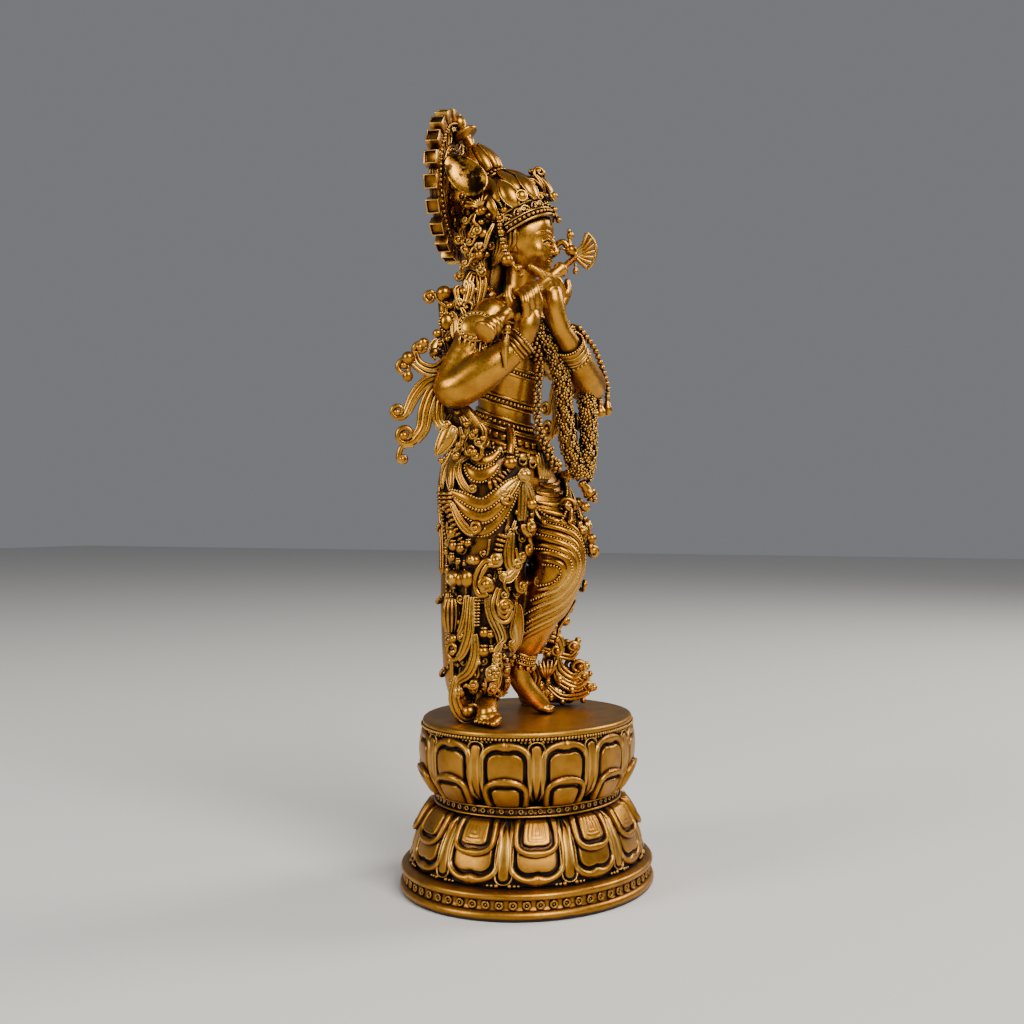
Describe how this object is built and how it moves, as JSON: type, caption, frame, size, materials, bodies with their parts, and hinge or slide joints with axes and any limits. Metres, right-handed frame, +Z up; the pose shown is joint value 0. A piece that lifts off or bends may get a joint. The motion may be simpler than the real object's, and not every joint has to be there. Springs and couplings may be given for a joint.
{
  "type": "hindu deity statue",
  "caption": "Antique brass statuette of a standing flute player with crown, halo and garland on an oval double-lotus pedestal.",
  "frame": {"origin": "centre of the pedestal's flat underside", "axes": "+Z up the figure, -Y the way the figure faces, +X to the figure's left"},
  "size_m": [0.0704, 0.0608, 0.1912],
  "materials": {
    "antique_brass": "satin, dark patina left in the recesses",
    "patinated_brass": "satin, heavier brown-black patina with rubbed high spots",
    "zinc_plated_steel": "plain"
  },
  "bodies": {
    "root": {"plinth_ring": "antique_brass", "plinth_beads": "patinated_brass", "bottom_cover": "patinated_brass", "tie_rod": "zinc_plated_steel", "tie_nut": "zinc_plated_steel", "lower_lotus": "antique_brass", "waist_band": "antique_brass", "waist_beads": "patinated_brass", "upper_lotus": "antique_brass", "top_plate": "antique_brass", "plate_pearls": "patinated_brass", "torso": "antique_brass", "right_leg": "antique_brass", "left_leg": "antique_brass", "right_arm": "antique_brass", "left_arm": "antique_brass", "right_hand": "antique_brass", "left_hand": "antique_brass", "head": "antique_brass", "hair": "patinated_brass", "crown_band": "patinated_brass", "crown_cap": "antique_brass", "crown_bulb": "antique_brass", "crown_finial": "antique_brass", "crown_crest": "patinated_brass", "crown_side_discs": "antique_brass", "ear_pendants": "patinated_brass", "halo_plate": "antique_brass", "halo_tiles": "antique_brass", "halo_beads": "patinated_brass", "halo_stem": "patinated_brass", "flute": "antique_brass", "flute_bird": "antique_brass", "flute_tassel": "patinated_brass", "collar": "patinated_brass", "right_armlet": "patinated_brass", "left_armlet": "patinated_brass", "right_bracelet": "patinated_brass", "left_bracelet": "patinated_brass", "garland": "patinated_brass", "garland_pendant": "patinated_brass", "right_shawl": "antique_brass", "left_shawl": "antique_brass", "waist_belt": "patinated_brass", "skirt": "antique_brass", "hip_sash": "antique_brass", "front_panel": "antique_brass", "knee_ornament": "patinated_brass", "right_ribbons": "antique_brass", "left_ribbons": "antique_brass", "back_drape": "antique_brass", "right_anklet": "patinated_brass", "left_anklet": "patinated_brass", "floor_scrolls": "antique_brass"}
  },
  "joints": []
}
